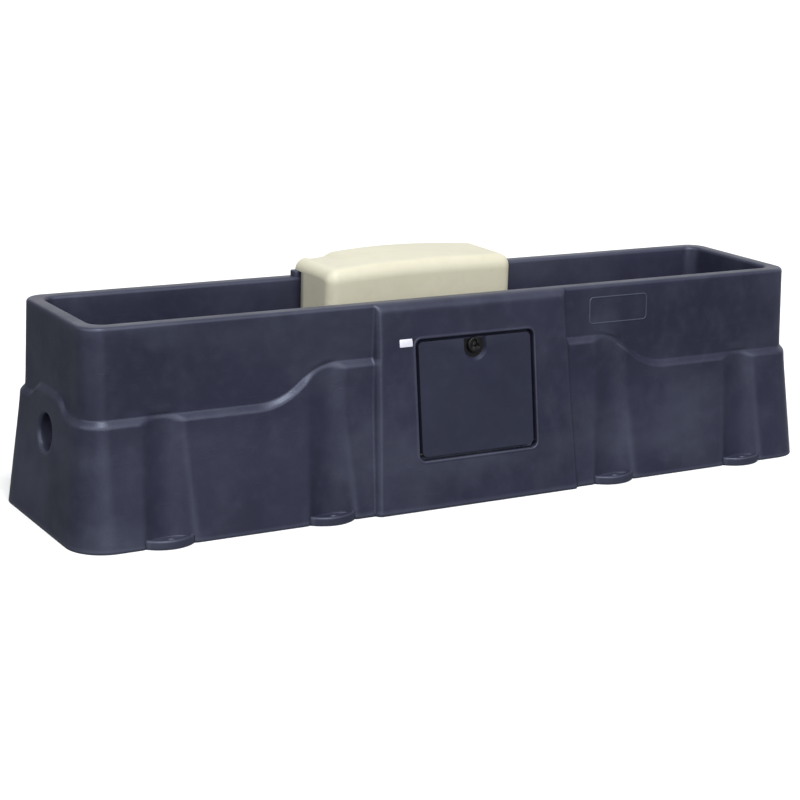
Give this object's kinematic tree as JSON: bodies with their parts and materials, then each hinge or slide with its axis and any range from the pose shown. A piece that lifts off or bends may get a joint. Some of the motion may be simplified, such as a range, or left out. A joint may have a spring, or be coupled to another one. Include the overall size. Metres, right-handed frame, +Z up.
{
  "type": "livestock drinking trough",
  "caption": "Long double-walled moulded drinking trough with a stepped skirt, a float valve under a lift-off cover and a service door with quarter-turn latch.",
  "frame": {"origin": "middle of the base, on the ground", "axes": "+X along the length, to the right as seen from the door side; +Y towards the back; +Z up"},
  "size_m": [2.527, 0.717, 0.687],
  "materials": {
    "moulded_body": "satin rotationally moulded polyethylene, dark blue-grey",
    "moulded_door": "satin rotationally moulded polyethylene, dark blue-grey",
    "moulded_cover": "satin rotationally moulded polyethylene, cream",
    "black_plastic": "satin black moulded plastic",
    "float_plastic": "smooth orange moulded plastic",
    "brass": "cast and machined brass",
    "steel": "plain stainless steel",
    "chrome": "plated ball",
    "rubber": "black rubber",
    "nylon": "white nylon",
    "pipe_plastic": "black polyethylene pipe",
    "hose_plastic": "dark blue hose",
    "label": "plain white sticker"
  },
  "bodies": {
    "root": {"trough_body": "moulded_body", "blank_label": "label", "float_valve_body": "brass", "float_valve_gasket": "rubber", "float_valve_backnut": "black_plastic", "valve_nozzle": "nylon", "lever_pivot_pin": "steel", "stop_valve_body": "brass", "stop_valve_adaptor": "brass", "stop_valve_packing_nut": "brass", "inlet_elbow": "brass", "inlet_riser": "pipe_plastic", "outlet_elbow": "brass", "union_nuts": "brass", "valve_bracket": "steel", "bracket_bolts": "steel", "tail_elbow": "brass", "supply_hose": "hose_plastic", "hose_clamps": "steel", "hose_clips": "black_plastic", "drain_fitting": "black_plastic", "drain_gasket": "rubber", "drain_backnut": "black_plastic"},
    "door": {"door": "moulded_door"},
    "latch": {"latch_knob": "black_plastic", "latch_shaft": "steel", "latch_spacer": "black_plastic", "latch_cam": "steel", "latch_nut": "steel"},
    "cover": {"cover": "moulded_cover"},
    "float_arm": {"float_lever": "brass", "float_rod": "steel", "float_ball": "float_plastic", "float_lock_nuts": "steel"},
    "piston": {"valve_piston": "brass", "piston_washer": "rubber"},
    "stop_lever": {"stop_valve_ball": "chrome", "stop_valve_stem": "steel", "stop_valve_lever": "steel", "lever_grip": "black_plastic", "lever_nut": "steel"},
    "drain_cap": {"drain_cap": "black_plastic", "drain_o_ring": "rubber"}
  },
  "joints": [
    {"name": "door_swing", "type": "hinge", "parent": "root", "child": "door", "pos_m": [0, -0.31129, 0.1627], "axis": [1, 0, 0], "range_deg": [0, 110]},
    {"name": "latch_turn", "type": "hinge", "parent": "door", "child": "latch", "pos_m": [0, -0.26809, 0.46766], "axis": [0, -0.9897, 0.1435], "range_deg": [0, 90]},
    {"name": "cover_lift", "type": "slide", "parent": "root", "child": "cover", "axis": [0, 0, 1], "range_m": [0, 0.3]},
    {"name": "float_rise", "type": "hinge", "parent": "root", "child": "float_arm", "pos_m": [-0.18, 0.1, 0.496], "axis": [0, -1, 0], "range_deg": [0, 35]},
    {"name": "piston_travel", "type": "slide", "parent": "root", "child": "piston", "axis": [-1, 0, 0], "range_m": [0, 0.0146]},
    {"name": "stop_valve_turn", "type": "hinge", "parent": "root", "child": "stop_lever", "pos_m": [0, -0.232, 0.25], "axis": [0, -1, 0], "range_deg": [0, 90]},
    {"name": "drain_cap_off", "type": "slide", "parent": "root", "child": "drain_cap", "axis": [0, -1, 0], "range_m": [0, 0.04]}
  ],
  "couplings": [
    {"joint": "piston_travel", "follows": "float_rise", "m_per_rad": 0.023629}
  ]
}
